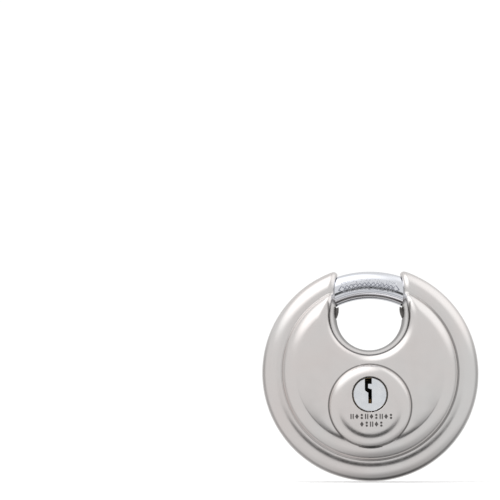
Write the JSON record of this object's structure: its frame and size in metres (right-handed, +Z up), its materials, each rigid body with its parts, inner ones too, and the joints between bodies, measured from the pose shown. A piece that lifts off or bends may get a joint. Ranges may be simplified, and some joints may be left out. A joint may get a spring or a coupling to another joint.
{
  "type": "disc padlock",
  "caption": "Round disc padlock: two pressed steel shells, a curved bar shackle across an open throat, and a keyed pin cylinder in a round boss.",
  "frame": {"origin": "centre of the flat rear face, on the disc's axis", "axes": "+Z up towards the shackle, +Y out of the rear face, so the keyed face looks along -Y and +X is its right"},
  "size_m": [0.07, 0.0268, 0.0684],
  "materials": {
    "shell_steel": "satin stainless steel, fine brushed",
    "plated_steel": "bright chrome plate on hardened steel",
    "plug_nickel": "nickel plate, satin face",
    "hardened_steel": "dark hardened steel",
    "brass": "machined brass",
    "cast_zinc": null,
    "spring_steel": "drawn wire"
  },
  "bodies": {
    "case": {"front_shell": "shell_steel", "rear_shell": "shell_steel", "guide_pad_left": "hardened_steel", "guide_pad_right": "hardened_steel", "drill_plate": "hardened_steel", "cylinder_housing": "brass", "chamber_cover": "brass", "guide_body": "cast_zinc", "housing_screw_left": "hardened_steel", "housing_screw_right": "hardened_steel", "pin_spring_1": "spring_steel", "pin_spring_2": "spring_steel", "pin_spring_3": "spring_steel", "pin_spring_4": "spring_steel"},
    "shackle": {"shackle": "plated_steel"},
    "plug": {"plug": "plug_nickel", "cam_lever": "hardened_steel", "lever_washer": "hardened_steel", "lever_screw": "hardened_steel"},
    "driver_1": {"driver_pin_1": "brass"},
    "key_side_1": {"key_pin_1": "brass"},
    "driver_2": {"driver_pin_2": "brass"},
    "key_side_2": {"key_pin_2": "brass"},
    "driver_3": {"driver_pin_3": "brass"},
    "key_side_3": {"key_pin_3": "brass"},
    "driver_4": {"driver_pin_4": "brass"},
    "key_side_4": {"key_pin_4": "brass"}
  },
  "joints": [
    {"name": "shackle_turn", "type": "hinge", "parent": "case", "child": "shackle", "pos_m": [0, -0.0118, 0], "axis": [0, 1, 0], "range_deg": [0, 58]},
    {"name": "plug_turn", "type": "hinge", "parent": "case", "child": "plug", "pos_m": [0, -0.0118, -0.0078], "axis": [0, 1, 0], "range_deg": [0, 86]},
    {"name": "driver_1_slide", "type": "slide", "parent": "case", "child": "driver_1", "axis": [0, 0, 1], "range_m": [-0.0012, 0], "stiffness_N_per_m": 300, "deforming": ["pin_spring_1"]},
    {"name": "key_pin_1_slide", "type": "slide", "parent": "plug", "child": "key_side_1", "axis": [0, 0, 1], "range_m": [0, 0.001]},
    {"name": "driver_2_slide", "type": "slide", "parent": "case", "child": "driver_2", "axis": [0, 0, 1], "range_m": [-0.0012, 0], "stiffness_N_per_m": 300, "deforming": ["pin_spring_2"]},
    {"name": "key_pin_2_slide", "type": "slide", "parent": "plug", "child": "key_side_2", "axis": [0, 0, 1], "range_m": [0, 0.001]},
    {"name": "driver_3_slide", "type": "slide", "parent": "case", "child": "driver_3", "axis": [0, 0, 1], "range_m": [-0.0012, 0], "stiffness_N_per_m": 300, "deforming": ["pin_spring_3"]},
    {"name": "key_pin_3_slide", "type": "slide", "parent": "plug", "child": "key_side_3", "axis": [0, 0, 1], "range_m": [0, 0.001]},
    {"name": "driver_4_slide", "type": "slide", "parent": "case", "child": "driver_4", "axis": [0, 0, 1], "range_m": [-0.0012, 0], "stiffness_N_per_m": 300, "deforming": ["pin_spring_4"]},
    {"name": "key_pin_4_slide", "type": "slide", "parent": "plug", "child": "key_side_4", "axis": [0, 0, 1], "range_m": [0, 0.001]}
  ],
  "couplings": [
    {"joint": "plug_turn", "follows": "shackle_turn", "ratio": 1.4775}
  ]
}
